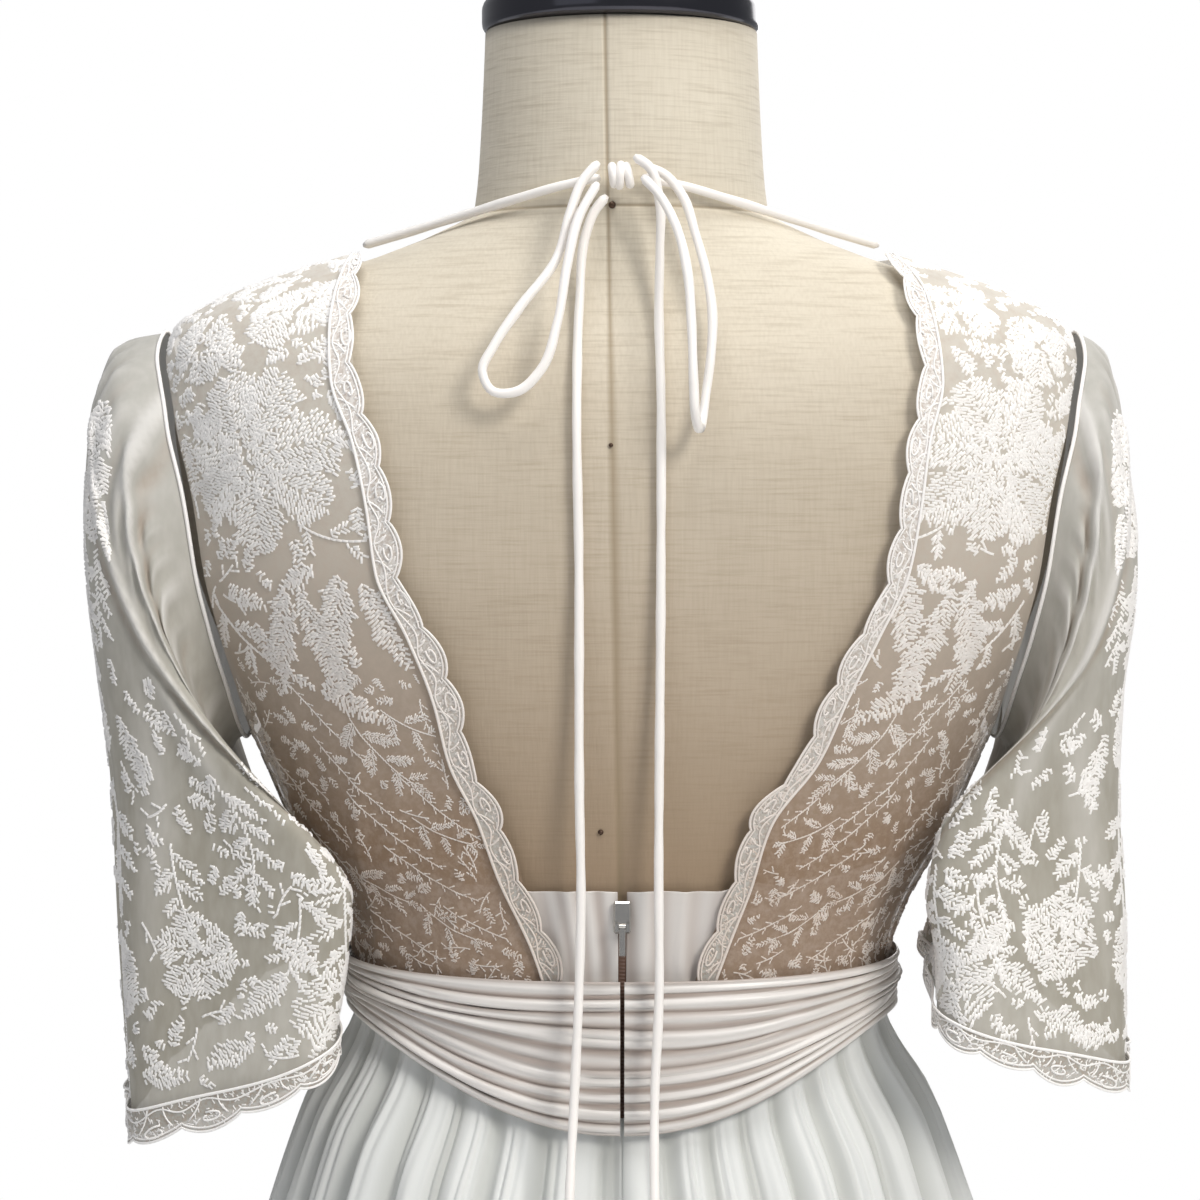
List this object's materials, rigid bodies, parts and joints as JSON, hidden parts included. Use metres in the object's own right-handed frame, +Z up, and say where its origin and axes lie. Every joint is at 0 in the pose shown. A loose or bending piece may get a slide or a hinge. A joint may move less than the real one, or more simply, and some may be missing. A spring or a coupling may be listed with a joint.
{
  "type": "wedding dress on a dress form",
  "caption": "Floor-length gown with a sheer lace bodice open deep at the back, elbow sleeves, draped waistband, gathered skirt and nape ties, worn by a limbless dress form.",
  "frame": {"origin": "on the floor under the middle of the stand's round base", "axes": "+Z up, -Y to the front of the garment, +X to the garment's own left"},
  "size_m": [0.842, 0.821, 1.59],
  "materials": {
    "linen": "matt natural linen with slubs",
    "lace": "corded ivory embroidery on fine net",
    "sheer_organza": "sheer organza",
    "satin": "soft satin",
    "chiffon": "matt chiffon",
    "cord": "satin rouleau",
    "nickel": "plated zinc",
    "dark_chrome": "polished dark chrome",
    "stand_enamel": "black enamel"
  },
  "bodies": {
    "dress_and_form": {"form_torso": "linen", "neck_cap": "dark_chrome", "stand_pole": "stand_enamel", "stand_base": "stand_enamel", "under_bodice_front": "satin", "under_bodice_back_left": "satin", "under_bodice_back_right": "satin", "bodice_front_left": "lace", "bodice_front_right": "lace", "bodice_back_left": "lace", "bodice_back_right": "lace", "edging_front_left": "lace", "edging_front_right": "lace", "edging_back_left": "lace", "edging_back_right": "lace", "edging_sleeve_left": "lace", "edging_sleeve_right": "lace", "sleeve_left": "sheer_organza", "sleeve_right": "sheer_organza", "waistband_front": "satin", "waistband_back_left": "satin", "waistband_back_right": "satin", "skirt_front": "chiffon", "skirt_back_left": "chiffon", "skirt_back_right": "chiffon", "zip_slider": "nickel", "tie_left": "cord", "tie_right": "cord", "bow_knot": "cord", "bow_loop_left": "cord", "bow_loop_right": "cord", "tie_tail_left": "cord", "tie_tail_right": "cord"},
    "zip_tab": {"zip_pull": "nickel"}
  },
  "joints": [
    {"name": "zip_pull_swing", "type": "hinge", "parent": "dress_and_form", "child": "zip_tab", "pos_m": [0, 0.08138, 1.16875], "axis": [1, 0, 0], "range_deg": [0, 150]}
  ]
}
